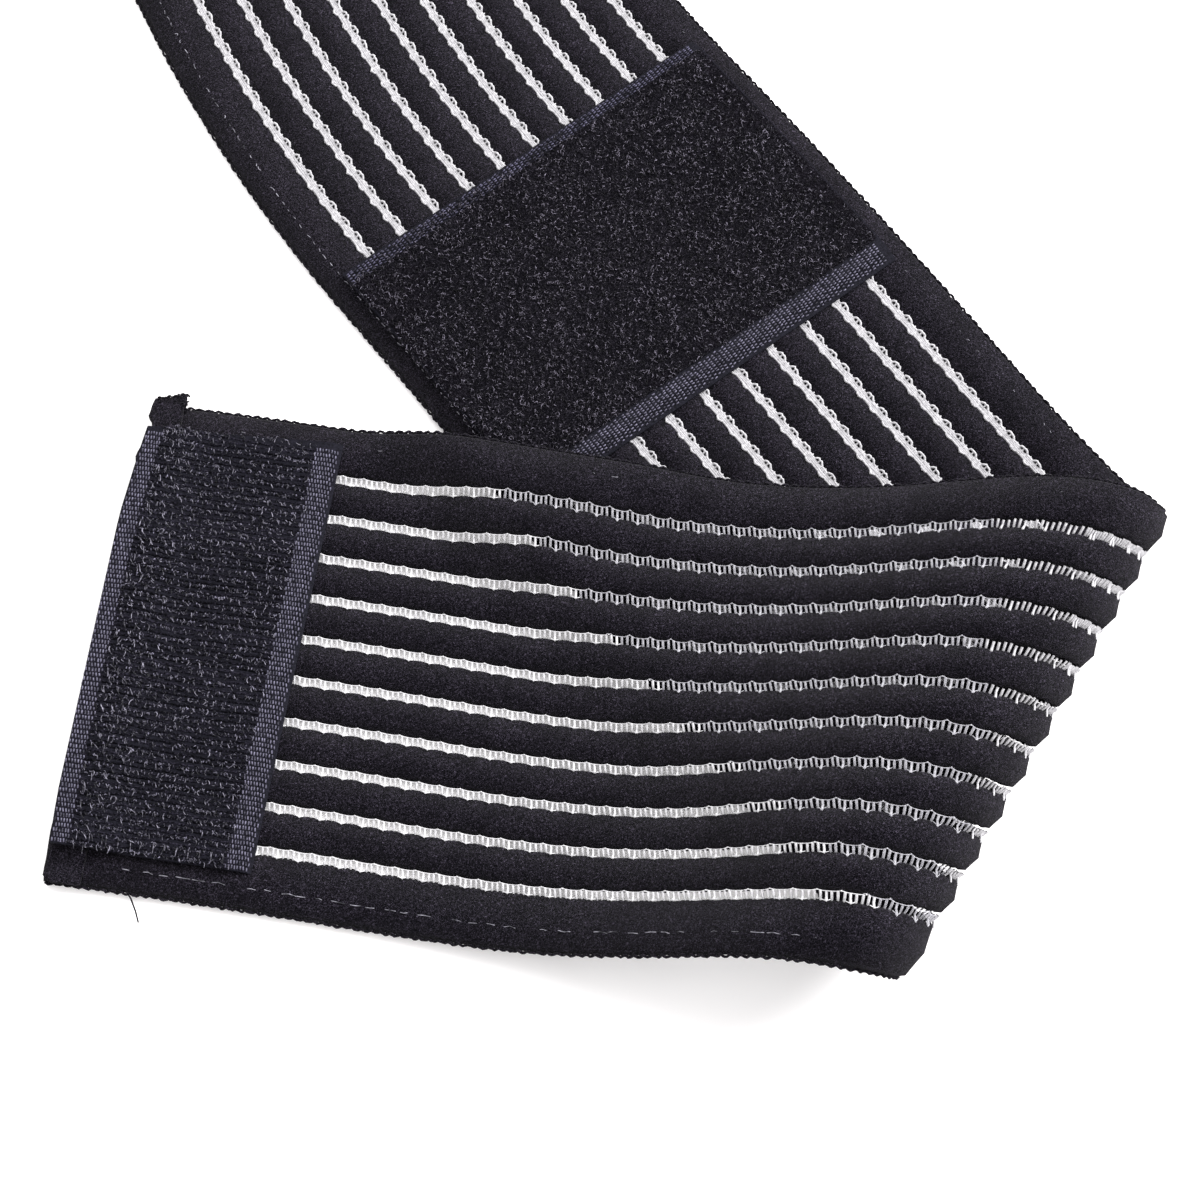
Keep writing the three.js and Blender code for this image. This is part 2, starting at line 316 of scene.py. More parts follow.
bm = bmesh.new()
for rib in range(GROOVE_COUNT + 1):
    high = (lambda u, k=rib - 1: lower_edge(u, k)) if rib else top_edge
    low = (lambda u, k=rib: upper_edge(u, k)) if rib < GROOVE_COUNT else (lambda u: -HALF + EDGE_INSET)
    knitted_roll(bm, low, high, 0 if rib else TOP_RIB_START)
bmesh.ops.holes_fill(bm, edges=bm.edges[:], sides=20)
bmesh.ops.recalc_face_normals(bm, faces=bm.faces[:])
rib_mesh = finished_mesh(bm, "elastic_ribs")

fleece = bpy.data.node_groups.new("fleece", "ShaderNodeTree")
for name, kind in (("Yarn", "Color"), ("Glint_Colour", "Color"), ("Size", "Float"), ("Glint_Amount", "Float")):
    fleece.interface.new_socket(name=name, in_out="INPUT", socket_type=f"NodeSocket{kind}")
for name, kind in (("Color", "Color"), ("Height", "Float")):
    fleece.interface.new_socket(name=name, in_out="OUTPUT", socket_type=f"NodeSocket{kind}")
inlet, outlet = add_node(fleece, "NodeGroupInput"), add_node(fleece, "NodeGroupOutput")
place = add_node(fleece, "ShaderNodeTexCoord").outputs["Object"]
curls = add_node(
    fleece, "ShaderNodeTexNoise",
    {"Vector": place, "Scale": inlet.outputs["Size"], "Detail": 3.0, "Roughness": 0.8, "Distortion": 1.2},
)
patches = add_node(fleece, "ShaderNodeTexNoise", {"Vector": place, "Scale": 160.0, "Detail": 3.0})
# Painted highlight: bright flecks standing in for glinting fibres, mixed into the base colour.
painted_glints = add_node(
    fleece, "ShaderNodeMapRange",
    {
        "Value": curls.outputs["Fac"], "From Min": 0.47, "From Max": 0.72,
        "To Max": inlet.outputs["Glint_Amount"],
    },
)
sharper = add_node(fleece, "ShaderNodeMath", {0: painted_glints.outputs[0], 1: 1.9}, operation="POWER")
uneven = add_node(
    fleece, "ShaderNodeMapRange",
    {"Value": patches.outputs["Fac"], "From Min": 0.3, "From Max": 0.7, "To Min": 0.7, "To Max": 1.3},
)
share = add_node(
    fleece, "ShaderNodeMath",
    {0: sharper.outputs[0], 1: uneven.outputs[0]}, operation="MULTIPLY", use_clamp=True,
)
blend = add_node(
    fleece, "ShaderNodeMix",
    {0: share.outputs[0], 6: inlet.outputs["Yarn"], 7: inlet.outputs["Glint_Colour"]}, data_type="RGBA",
)
fleece.links.new(blend.outputs[2], outlet.inputs["Color"])
fleece.links.new(curls.outputs["Fac"], outlet.inputs["Height"])


def add_bump(tree, shader, height, depth):
    bump = add_node(tree, "ShaderNodeBump", {"Height": height, "Distance": depth})
    tree.links.new(bump.outputs["Normal"], shader.inputs["Normal"])


def fleece_material(name, yarn, glint_colour, size, flecks, depth, **shading):
    """Brushed yarn in colour `yarn`, with painted highlight: flecks of `glint_colour` where fibres catch
    light.
    """
    material, shader = new_material(name, **shading)
    tree = material.node_tree
    group = add_node(tree, "ShaderNodeGroup", node_tree=fleece)
    group.inputs["Yarn"].default_value = (*yarn, 1)
    group.inputs["Glint_Colour"].default_value = (*glint_colour, 1)
    group.inputs["Size"].default_value = size
    group.inputs["Glint_Amount"].default_value = flecks
    tree.links.new(group.outputs["Color"], shader.inputs["Base Color"])
    add_bump(tree, shader, group.outputs["Height"], depth)
    return material


# The ribs' lighter flecks are painted highlight; their sheen comes from the shader itself.
rib_material = fleece_material(
    "black_plush", (0.001, 0.0008, 0.002), (0.105, 0.09, 0.13), 4200.0, 1.0, 0.0004,
    roughness=1.0, specular=0.04, sheen=0.05,
)
ribs = lay_piece("elastic_ribs", rib_mesh, rib_material)
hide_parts("elastic_band")

# White rubber thread crosses each open stripe in bars, four to a wave, their ends knitted in under the
# plush. On the near run a fine line joins their upper ends and rises over one pair in each wave, and one
# bar in each wave hangs lower. On the far run the threads lie closer and fill the stripe.
BAR_PITCH = WAVE / 4
LOW_AT, CUSP_AT = 1.5 * BAR_PITCH, 0.4 * WAVE  # past each crest, on the near run and on the far run
CREST_BAR = (-0.75, 0, 0.5, 0.82), (0.0, 0.52, 0.8, 0.94)  # places across the groove, and heights
LOW_BAR = (-1.0, -0.62, 0, 0.68), (1.0, 0.86, 0.52, 0.76)
PLAIN_BAR = (-0.75, -0.1, 0.45, 0.68), (0.0, 0.5, 0.68, 0.76)


def cord_mesh(name, routes, radius):
    """A thread of four sides along each route of flat points."""
    curve = bpy.data.curves.new(name, "CURVE")
    curve.dimensions, curve.use_fill_caps = "3D", True
    curve.bevel_depth, curve.bevel_resolution = radius, 0
    for route in routes:
        spline = curve.splines.new("POLY")
        spline.points.add(len(route) - 1)
        spline.points.foreach_set("co", np.column_stack((route, np.ones(len(route)))).ravel())
    holder = bpy.data.objects.new(name, curve)
    mesh = bpy.data.meshes.new_from_object(holder)
    bpy.data.objects.remove(holder)
    bpy.data.curves.remove(curve)
    return mesh


def each_wave(start, stop):
    """The groove's number and u of every wave's crest between two places along the band."""
    for k in range(GROOVE_COUNT):
        first = math.ceil((start - wave_phase(k)) / WAVE)
        for wave in range(first, math.floor((stop - wave_phase(k)) / WAVE) + 1):
            yield k, wave_phase(k) + wave * WAVE


def lean(u):
    """How far a bar leans, as the pull on the knit changes along the near run."""
    return np.interp(u, (0, 50, 105, 128, 142, 160), (0, -0.1, -0.22, 0, 0.25, 0.4))


def route(k, u, along, across, heights):
    """A thread's way about a place in groove k, from its steps along, across and up."""
    return np.column_stack((u + np.array(along), groove_middles[k] + np.array(across), np.array(heights)))


def near_bars(start, stop, rng, shift=0.0):
    routes = []
    for k, crest in each_wave(start, stop):
        for bar, (across, heights) in enumerate((CREST_BAR, LOW_BAR, PLAIN_BAR, CREST_BAR)):
            u = crest + (bar + 0.5 + shift) * BAR_PITCH + rng.normal(0, 0.035)
            along = np.array(across) * (lean(u) + rng.normal(0, 0.04))
            routes.append(route(k, u, along, across, heights))
    return routes


def near_lines(start, stop, rng):
    """The line along the bars' upper ends, and the strands from each low bar's tip to its neighbours."""
    routes = []
    for k, crest in each_wave(start, stop):
        along = np.array((-0.42, -0.28, 0, 0.28, 0.42, 0.8, 1.6, 2.4, 2.82))
        across = np.array((0.8, 0.88, 0.94 + rng.normal(0, 0.05), 0.88, 0.8, 0.7, 0.68, 0.7, 0.8))
        heights = (0.95, 1.0, 1.04, 1.0, 0.95, 0.86, 0.83, 0.86, 0.95)
        routes.append(route(k, crest, along + across * lean(crest), across, heights))
        low = crest + LOW_AT
        across = np.array((-0.45, -0.68, -0.98, -0.68, -0.45))
        along = np.array((-0.62, -0.34, 0, 0.34, 0.62)) + across * lean(low)
        routes.append(route(k, low, along, across, (0.72, 0.95, 1.04, 0.95, 0.72)))
    return routes


def near_knots(start, stop, rng):
    """The knot on each pair's peak and the one on each low bar's tip."""
    routes = []
    for k, crest in each_wave(start, stop):
        for u, v, size in ((crest, 0.98, 0.09), (crest + LOW_AT, -0.97, 0.13)):
            across = v, v + rng.normal(0, 0.05)
            routes.append(route(k, u + v * lean(u), (-size, size), across, (1.02, 1.02)))
    return routes


def far_bars(start, stop, rng):
    routes = []
    for k, crest in each_wave(start, stop):
        for bar in range(4):
            u = crest + bar * BAR_PITCH + rng.normal(0, 0.03)
            low, reach, top = (-0.78, 0.82, -0.98) if bar == 0 else (-0.72, 0.74, -0.66)
            routes.append(route(k, u, (0, 0, 0), (low, 0.2, reach), (-0.4, -0.76, top)))
        routes.append(route(k, crest + CUSP_AT, (0, 0), (-0.7, -1.0), (-0.85, -0.95)))
    return routes


def far_turns(start, stop, rng):
    """Above, an arch spans three bars, open between them; below, a short cusp half a wave on."""
    routes = []
    for k, crest in each_wave(start, stop):
        crest += rng.normal(0, 0.04)
        across = np.array((0.5, 0.72, 0.84, 0.76, 0.84, 0.72, 0.5)) + rng.normal(0, 0.05, 7)
        heights = (-0.75, -0.93, -1, -1, -1, -0.93, -0.75)
        routes.append(route(k, crest, (-0.88, -0.62, -0.3, 0, 0.3, 0.62, 0.88), across, heights))
        along, heights = (-0.62, -0.3, 0, 0.3, 0.62), (-0.7, -0.9, -1, -0.9, -0.7)
        across = (-0.6, -0.8, -0.88 + rng.normal(0, 0.09), -0.76, -0.6)
        routes.append(route(k, crest + CUSP_AT, along, across, heights))
    return routes


def filling(start, stop, across, height, dips, rng):
    """Flat thread laid along the stripes in lines; with `dips` the first line dips under each arch."""
    routes = []
    for k in range(GROOVE_COUNT):
        crests = wave_phase(k) + np.arange(math.ceil(start / WAVE), stop // WAVE - 1)[:, None] * WAVE
        for number, v in enumerate(across):
            along, low = (0, 1.6), (0, 0)
            if number == 0 and dips:
                along, low = (-0.85, -0.6, 0.6, 0.85, 1.6), (0, dips, dips, 0, 0)
            u = (crests + np.array(along)).ravel()
            way = groove_middles[k] + v - np.tile(low, len(crests)) + rng.normal(0, 0.04, len(u))
            routes.append(np.column_stack((u, way, height + rng.normal(0, 0.02, len(u)))))
    return routes


def above_far_run(route):
    """Whether a near-run thread has the far run beneath it, and not the bare table."""
    along, line = fold_shares(*np.mean(route, 0)[:2])
    return right_of(ledge, *plan(np.interp(along, arch_along, arch_reach), line)) > 0


SLACK_SHARE, SLACK_KEPT = 0.65, (-0.6, 0.66)


def flatter(route):
    """Over the bare table the band lies slack, and the waves in its stripes are lower."""
    number = np.round((HALF - GROOVE_MARGIN - route[:, 1]) / GROOVE_PITCH).astype(int)
    across = route[:, 1] - np.array(groove_middles)[number]
    route[:, 1] -= SLACK_SHARE * (across - np.clip(across, *SLACK_KEPT))
    return route


def thread_material(name, shade, light, alpha):
    """Thin rubber thread: matt white, and with `alpha` under 1 what lies behind it shows through."""
    material, shader = new_material(name, roughness=0.8, specular=0.15)
    tree = material.node_tree
    place = add_node(tree, "ShaderNodeTexCoord").outputs["Object"]
    twist = add_node(tree, "ShaderNodeTexNoise", {"Vector": place, "Scale": 2600.0, "Detail": 3.0})
    two_shades(tree, shader, twist.outputs["Fac"], shade, light, 0.3, 0.65)
    add_bump(tree, shader, twist.outputs["Fac"], 0.0001)
    shader.inputs["Alpha"].default_value = alpha
    return material


# Two copies of one white rubber thread. Where the near run lies on the bare table its copy is painted
# lighter and more opaque, for the light the table sends up through it; where it crosses the far run the
# copy is darker and lets the band show through.
thread_over_band = thread_material("rubber_thread_over_band", (0.46, 0.45, 0.5), (0.86, 0.85, 0.9), 0.32)
thread_painted_lit = thread_material("rubber_thread_painted_lit", (0.6, 0.59, 0.62), (0.86, 0.85, 0.87), 0.72)
full_thread = thread_material("full_rubber_thread", (0.3, 0.292, 0.31), (0.5, 0.492, 0.51), 1.0)
rng = np.random.default_rng(7)
heaped_from, turned_at, band_end = FOLD_AT - 28, FOLD_AT + 6, BAND_LENGTH - 0.8
for name, routes, radius in (
    ("bars", near_bars(0.8, heaped_from, rng), 0.195),
    ("lines", near_lines(0.8, heaped_from, rng), 0.062),
    ("knots", near_knots(0.8, heaped_from, rng), 0.11),
):
    crossing = [above_far_run(route) for route in routes]
    # Over the bare table the painted lit copy, over the far run the darker one.
    for run, material, wanted in (("near_run", thread_painted_lit, False), ("crossing", thread_over_band, True)):
        chosen = [route for route, crosses in zip(routes, crossing) if crosses == wanted]
        if run == "near_run":
            chosen = [flatter(route) for route in chosen]
        lay_piece(f"{run}_{name}", cord_mesh(name, chosen, radius), material)
# At the turn the bars crowd together: a second row stands between the first, and the gaps fill up.
at_turn = near_bars(heaped_from, turned_at, rng) + near_bars(heaped_from + 12, turned_at, rng, 0.5)
far_lines = 0.42, 0.14, -0.16, -0.44
for name, routes, radius in (
    ("fold_bars", at_turn, 0.2),
    ("fold_filling", filling(heaped_from + 17, turned_at + 4, (0.35, -0.1), 0.4, 0, rng), 0.22),
    ("far_run_bars", far_bars(turned_at, band_end, rng), 0.17),
    ("far_run_turns", far_turns(turned_at, band_end, rng), 0.19),
    ("far_run_filling", filling(turned_at - 4, band_end, far_lines, -0.6, 0.22, rng), 0.26),
):
    lay_piece(name, cord_mesh(name, routes, radius), full_thread)

# The knit's two edges end in small loops of the black yarn, where the needle turned back. Just inside them
# a fine pale thread is worked in, which shows only here and there.
LOOP_PITCH, LOOP_HEIGHT, LOOP_RADIUS = 1.5, 0.3, 0.26
routes = []
for side in (1, -1):
    u = np.arange(HEM_DEPTH + 0.2 if side == 1 else 0.3, BAND_LENGTH - 0.3, LOOP_PITCH / 6)
    loop = LOOP_HEIGHT * np.abs(np.sin(np.pi * u / LOOP_PITCH)) * (0.5 + 0.7 * rng.random(len(u)))
    inset = np.array([HALF - top_edge(place) if side == 1 else EDGE_INSET for place in u])
    v = side * (HALF - 0.05 - inset + loop / (1 + 3 * (inset - EDGE_INSET)))
    routes.append(np.column_stack((u, v, 0.2 * np.sin(2 * np.pi * u / LOOP_PITCH))))
selvedge = lay_piece("selvedge_loops", cord_mesh("selvedge_loops", routes, LOOP_RADIUS), rib_material)

THREAD_INSET = 3.4
EDGE_STITCHES = (  # side, face, the chance that one shows, the longest, and the step from one to the next
    (1, 1, 0.08, 1.0, 3.1), (-1, 1, 0.88, 2.3, 2.7), (1, -1, 0.4, 0.5, 2.3), (-1, -1, 0.9, 0.9, 1.6),
)
routes = []
for side, face, chance, longest, step in EDGE_STITCHES:
    for start in np.arange(12, BAND_LENGTH - 8, step):
        if rng.random() > chance or (start > FOLD_AT - 8) == (face == 1):
            continue
        u = start + rng.uniform(-0.4, 0.4) + np.array((0, 0.5, 1)) * rng.uniform(0.35 * longest, longest)
        v = side * (HALF - THREAD_INSET) + rng.normal(0, 0.08, 3)
        routes.append(np.column_stack((u, v, face * (FACE + np.array((-0.08, 0.03, -0.08))))))
pale_material, shader = new_material("pale_thread", roughness=0.6)
tree = pale_material.node_tree
place = add_node(tree, "ShaderNodeTexCoord").outputs["Object"]
worn = add_node(tree, "ShaderNodeTexNoise", {"Vector": place, "Scale": 900.0})
two_shades(tree, shader, worn.outputs["Fac"], (0.02, 0.02, 0.025), (0.3, 0.29, 0.34), 0.35, 0.65)
edge_thread = lay_piece("edge_thread", cord_mesh("edge_thread", routes, 0.065), pale_material)

cut_end = np.array(((12.6, -39.2, 0.3), (13.9, -40.6, 0.3), (15.0, -42.4, 0.1), (15.7, -43.9, -0.3)))
loose_end = lay_piece("loose_thread_end", cord_mesh("loose_thread_end", [cut_end], 0.13), rib_material)


# Each end of the band is turned over once and sewn down: onto the upper side at the hook end, where the
# hook tape covers most of it, and onto the other side at the far end. At the hook end its upper corner
# sticks out, cut and frayed into a tuft.
def flat_slab_mesh(name, low, high, cells, bevel):
    """A flat box between two corners, cut into cells so that it can bend, with soft edges."""
    bm = bmesh.new()
    low, high = Vector(low), Vector(high)
    made = bmesh.ops.create_cube(bm, size=1.0)["verts"]
    size = high - low
    bmesh.ops.scale(bm, vec=size, verts=made)
    bmesh.ops.translate(bm, vec=(low + high) / 2, verts=made)
    outline = list({e for v in made for e in v.link_edges})
    bmesh.ops.bevel(bm, geom=outline, offset=bevel, affect="EDGES", segments=2, profile=0.5, material=-1)
    for axis, count in enumerate(cells):
        for i in range(1, count):
            normal = Vector((axis == 0, axis == 1, 0))
            at = low + size * (i / count)
            everything = bm.verts[:] + bm.edges[:] + bm.faces[:]
            bmesh.ops.bisect_plane(bm, geom=everything, plane_co=at, plane_no=normal)
    return finished_mesh(bm, name)


def end_bow(v):
    """The hook end isn't straight: it bows out in its middle and draws in at its top."""
    return np.interp(v, (-34.5, -24, -8, 6, 20, 30, 34.6), (0, -0.55, -0.85, -0.75, -0.35, 0.45, 0.95))


HEM_CORNERS = (-40, -38.6, -36, -34, 33.8, 35.2, 39.5, 42), (0.7, -1.2, -1.2, 0, 0, 1.2, 0.9, 1.1)
HEM_PEEPS_OUT = (-35, -33, 12, 20), (0, 0.85, 0.65, 0)  # past the tape
TAPE_REACH, TUFT_CURLS = 34.5, 110
near_hem = flat_slab_mesh(
    "near_hem", (0.1, -HALF, FACE - 0.4), (HEM_DEPTH, HALF + HEM_FLARE, FACE + HEM_RISE), (4, 90), 0.5
)
for vert in near_hem.vertices:
    u, v, w = vert.co
    at_fold = 1 - u / HEM_DEPTH
    edge = np.interp(v, *HEM_CORNERS)
    edge += end_bow(v) * (abs(v) < TAPE_REACH) - np.interp(v, *HEM_PEEPS_OUT)
    edge += 0.3 * math.sin(v / 1.3) + 0.16 * math.sin(v / 0.62 + 1)
    vert.co.x += edge * at_fold
    vert.co.z = FACE + (w - FACE) * np.interp(v, (-36.5, -33), (0.3, 1))
    vert.co.y -= np.interp(v, (36, HALF), (0, 1)) * (1.9 * at_fold + 0.25 * math.sin(u * 3.1))
near_hem = lay_piece("near_hem", near_hem, rib_material)
far_hem = flat_slab_mesh(
    "far_hem", (BAND_LENGTH - HEM_DEPTH, -HALF, -FACE - HEM_RISE), (BAND_LENGTH - 0.1, HALF, -FACE + 0.4),
    (4, 60), 0.5,
)
far_hem = lay_piece("far_hem", far_hem, rib_material)
routes = []
for _ in range(TUFT_CURLS):  # the cut plush at the near hem's open end
    u, heading = rng.uniform(1.4, HEM_DEPTH + 0.1), rng.uniform(0, 2 * math.pi)
    top = HALF + HEM_FLARE - 2.1 * (1 - u / HEM_DEPTH)
    v = top - abs(rng.normal(0, 0.35)) if rng.random() < 0.6 else rng.uniform(HALF - 1.5, top)
    u = u if v > top - 0.8 else HEM_DEPTH + rng.normal(0, 0.2)
    turn = np.linspace(0, 1, 4) * math.pi
    routes.append(np.column_stack((
        u + 0.3 * np.cos(turn) * math.cos(heading), v + 0.3 * np.cos(turn) * math.sin(heading),
        FACE + rng.uniform(0.1, HEM_RISE) + 0.25 * np.sin(turn),
    )))
hem_tuft = lay_piece("hem_tuft", cord_mesh("hem_tuft", routes, 0.17), rib_material)

# The hook tape: a woven nylon strip, sewn over the turned-over end. Its two long edges are plain, and its
# field is full of stiff hooks of clear dark filament.
TAPE_BASE, TAPE_END, TAPE_SETTLE = FACE + GAP, TAPE_INSET + TAPE_ALONG, 6.0
TAPE_LIP = TAPE_END - 1.5, TAPE_END


def tape_height(u, w):
    """It rises over the turned-over end; its far edge is pressed thin and sewn down close to the band."""
    rise = HEM_RISE * np.clip((HEM_DEPTH + TAPE_SETTLE - u) / TAPE_SETTLE, 0, 1)
    return TAPE_BASE + rise + w * np.interp(u, TAPE_LIP, (1, 0.3)) - GAP * np.interp(u, TAPE_LIP, (0, 1))


def tape_point(share_u, share_v, w):
    """A place on the tape: shares along and across it, and a height above its underside."""
    u = TAPE_INSET + share_u * TAPE_ALONG
    top = HALF - (TAPE_TOP[0] + (TAPE_TOP[1] - TAPE_TOP[0]) * share_u)
    v = -HALF + TAPE_BOTTOM + share_v * (top + HALF - TAPE_BOTTOM)
    return u, v, tape_height(u, w)


BOW_DEPTH = 11


def lay_on_tape(name, mesh, material, smooth=True):
    """Lays a piece of the tape, whose near edge follows the band's bowed end."""
    co = places(mesh)
    u, v = co[:, 0].copy(), co[:, 1]
    co[:, 0] += end_bow(v) * np.clip(1 - u / BOW_DEPTH, 0, 1)
    mesh.vertices.foreach_set("co", co.ravel())
    piece = lay_piece(name, mesh, material, smooth)
    return piece


def yarn_material(name, dark, light, size, low=0.35, high=0.65, depth=0.00012, spread=0.1, **shading):
    """Filament yarn: its shade changes along each thread, and by `spread` from thread to thread."""
    material, shader = new_material(name, **shading)
    tree = material.node_tree
    place = add_node(tree, "ShaderNodeTexCoord").outputs["Object"]
    lots = add_node(
        tree, "ShaderNodeTexNoise", {"Vector": place, "Scale": size, "Detail": 3.0, "Roughness": 0.7}
    )
    thread = add_node(tree, "ShaderNodeNewGeometry").outputs["Random Per Island"]
    shade = add_node(
        tree, "ShaderNodeMath", {0: thread, 1: spread, 2: lots.outputs["Fac"]}, operation="MULTIPLY_ADD"
    )
    two_shades(tree, shader, shade.outputs[0], dark, light, low + spread / 2, high + spread / 2)
    add_bump(tree, shader, lots.outputs["Fac"], depth)
    return material


def reshape(mesh, placed):
    """Moves a unit slab's vertices to where `placed` puts their shares."""
    mesh.vertices.foreach_set("co", np.stack(placed(*places(mesh).T), -1).ravel())


TAPE_GROUND = 0.55  # its thickness
TAPE_EDGE, TAPE_SEAM = 0.105, 0.865  # the shares along it where the hooks start and end
DASH_LENGTH, DASH_WIDTH, DASH_ROW, DASH_COLUMN = 0.56, 0.26, 0.775, 0.455


def arrayed(mesh, name, steps):
    """The mesh repeated by one Array modifier for each (count, offset)."""
    holder = linked(name, mesh)
    for count, offset in steps:
        array = holder.modifiers.new("repeat", "ARRAY")
        array.use_relative_offset, array.use_constant_offset = False, True
        array.count, array.constant_offset_displace = count, offset
    made = bpy.data.meshes.new_from_object(holder.evaluated_get(bpy.context.evaluated_depsgraph_get()))
    bpy.data.objects.remove(holder)
    return made


def woven_dashes(name, low_u, high_u, low_v, high_v, top, rng, side=1, size=1.0, stray=0.06):
    """The floats of a weave: short dashes in rows, like bricks; `top` gives their height at (u, v)."""
    bm = bmesh.new()
    radius = size * DASH_WIDTH / 2
    for row in range(2):
        dash = bmesh.ops.create_cone(
            bm, cap_ends=True, segments=4, radius1=radius, radius2=radius, depth=size * DASH_LENGTH
        )["verts"]
        bmesh.ops.rotate(bm, matrix=Matrix.Rotation(math.pi / 2, 3, "X"), verts=dash)
        bmesh.ops.translate(bm, vec=(row * DASH_COLUMN / 2, row * DASH_ROW, 0), verts=dash)
    corners = len(bm.verts) // 2
    mesh = finished_mesh(bm, name)
    columns, rows = int((high_u - low_u) / DASH_COLUMN - 0.3), int((high_v - low_v) / DASH_ROW / 2)
    made = arrayed(mesh, name, ((columns, (DASH_COLUMN, 0, 0)), (rows, (0, 2 * DASH_ROW, 0))))
    dashes = places(made).reshape(-1, corners, 3)
    middle = dashes.mean(1)
    turn = side * 0.12 + rng.normal(0, stray, (len(dashes), 1))
    out = dashes[:, :, :2] - middle[:, None, :2]
    dashes[:, :, 0] = middle[:, None, 0] + out[:, :, 0] * np.cos(turn) - out[:, :, 1] * np.sin(turn)
    dashes[:, :, 1] = middle[:, None, 1] + out[:, :, 0] * np.sin(turn) + out[:, :, 1] * np.cos(turn)
    dashes += (low_u + DASH_COLUMN / 2, low_v + DASH_ROW / 2, 0)
    dashes[:, :, :2] += rng.normal(0, 0.4 * stray, (len(dashes), 1, 2))
    middle = dashes.mean(1)
    uneven = side * rng.normal(0.02, 0.025, len(dashes))
    dashes[:, :, 2] += (top(middle[:, 0], middle[:, 1]) + uneven)[:, None]
    made.vertices.foreach_set("co", dashes.ravel())
    return made


tape_mesh = flat_slab_mesh("hook_tape_ground", (0, 0, 0), (1, 1, 1), (16, 24), 0.004)
reshape(tape_mesh, lambda x, y, z: tape_point(x, y, z * TAPE_GROUND))
tape_material = yarn_material(
    "navy_tape", (0.002, 0.002, 0.004), (0.01, 0.0095, 0.016), 3000.0, roughness=0.8, specular=0.1
)
tape_ground = lay_on_tape("hook_tape_ground", tape_mesh, tape_material, smooth=False)
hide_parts("hook_tape")


def tape_top(u, v):
    """The height of the tape's upper side at (u, v), which is the same all across it."""
    return tape_height(u, TAPE_GROUND)


dash_material = yarn_material(
    "grey_navy_yarn", (0.006, 0.0057, 0.011), (0.15, 0.141, 0.202), 1400.0, roughness=0.5, specular=0.25
)
tape_low_v = -HALF + TAPE_BOTTOM + 0.1
tape_high_v = HALF - TAPE_TOP[1] - 0.2
field_starts, field_ends = (TAPE_INSET + share * TAPE_ALONG for share in (TAPE_EDGE, TAPE_SEAM))
for name, low_u, high_u in (
    ("tape_near_edge", TAPE_INSET + 0.1, field_starts), ("tape_far_edge", field_ends, TAPE_END - 0.1)
):
    high_v = HALF - TAPE_TOP[0] - 0.1 if low_u < 10 else tape_high_v
    mesh = woven_dashes(name, low_u, high_u, tape_low_v, high_v, tape_top, rng)
    lay_on_tape(name, mesh, dash_material)

# Between them the tape is ribbed along the band and finely flecked. Stiff filament hooks woven into it
# stand in rows, lean over to the tape's lower end and curl down; those by the near edge are longer, and
# small curls of the same filament lie all about.
RIDGE_PITCH, HOOK_SPACING, SMALL_CURLS, HOOK_RADIUS = 0.775, 1.81, 2200, 0.055
LONGER_WITHIN, DENSER_WITHIN = 9, 6  # of the near edge
ridge_v = np.arange(tape_low_v + 0.2, tape_high_v, RIDGE_PITCH)
ridge_u = np.linspace(field_starts - 0.3, field_ends + 0.2, 26)
routes = []
for v in ridge_v:
    if v > HALF - TAPE_TOP[0] - 0.3 + (TAPE_TOP[0] - TAPE_TOP[1]) * 0.5:
        continue
    waver = rng.normal(0, 0.05, len(ridge_u)) + 0.12 * np.sin(ridge_u / 3.1 + v / 9)
    height = tape_top(ridge_u, v) - 0.06 + rng.normal(0, 0.03, len(ridge_u))
    routes.append(np.column_stack((ridge_u, v + waver, height)))
ridge_material = yarn_material(
    "black_tape_rib", (0.001, 0.001, 0.002), (0.034, 0.031, 0.048), 3600.0, 0.47, 0.7, 0.0003,
    roughness=0.8, specular=0.05,
)
ridges = lay_on_tape("tape_ridges", cord_mesh("tape_ridges", routes, 0.27), ridge_material)


def fleck_height(u, v):
    """The flecks lie higher on every second row."""
    return tape_top(u, v) + 0.16 * np.cos(2 * np.pi * (v - tape_low_v - 0.39) / (2 * DASH_ROW))


mesh = woven_dashes(
    "tape_flecks", field_starts - 0.4, field_ends + 0.3, tape_low_v, HALF - TAPE_TOP[0] + 0.4,
    fleck_height, rng, size=0.62, stray=0.5,
)
fleck_material = yarn_material(
    "tape_fleck", (0.001, 0.001, 0.002), (0.27, 0.255, 0.345), 1500.0, 0.46, 0.74,
    spread=0.14, roughness=0.6, specular=0.1,
)
flecks = lay_on_tape("tape_flecks", mesh, fleck_material)


def hook_route(u, v, heading, reach_out, height, curl, points):
    """A filament that rises from the tape at (u, v), leans over and turns its tip down."""
    bend = np.linspace(0, 1, points)
    out = reach_out * (1 - np.cos(bend * math.pi * 0.95)) / 2
    up = height * np.sin(np.clip(bend * 1.4, 0, 1.5) * math.pi / 2)
    bow = curl * np.sin(bend * math.pi)
    side_u, side_v = math.cos(heading), math.sin(heading)
    return np.column_stack((
        u + out * side_u - bow * side_v, v + out * side_v + bow * side_u, tape_top(u, v) - 0.1 + up,
    ))


def tape_end(u):
    return HALF - TAPE_TOP[0] + (TAPE_TOP[0] - TAPE_TOP[1]) * u / TAPE_ALONG


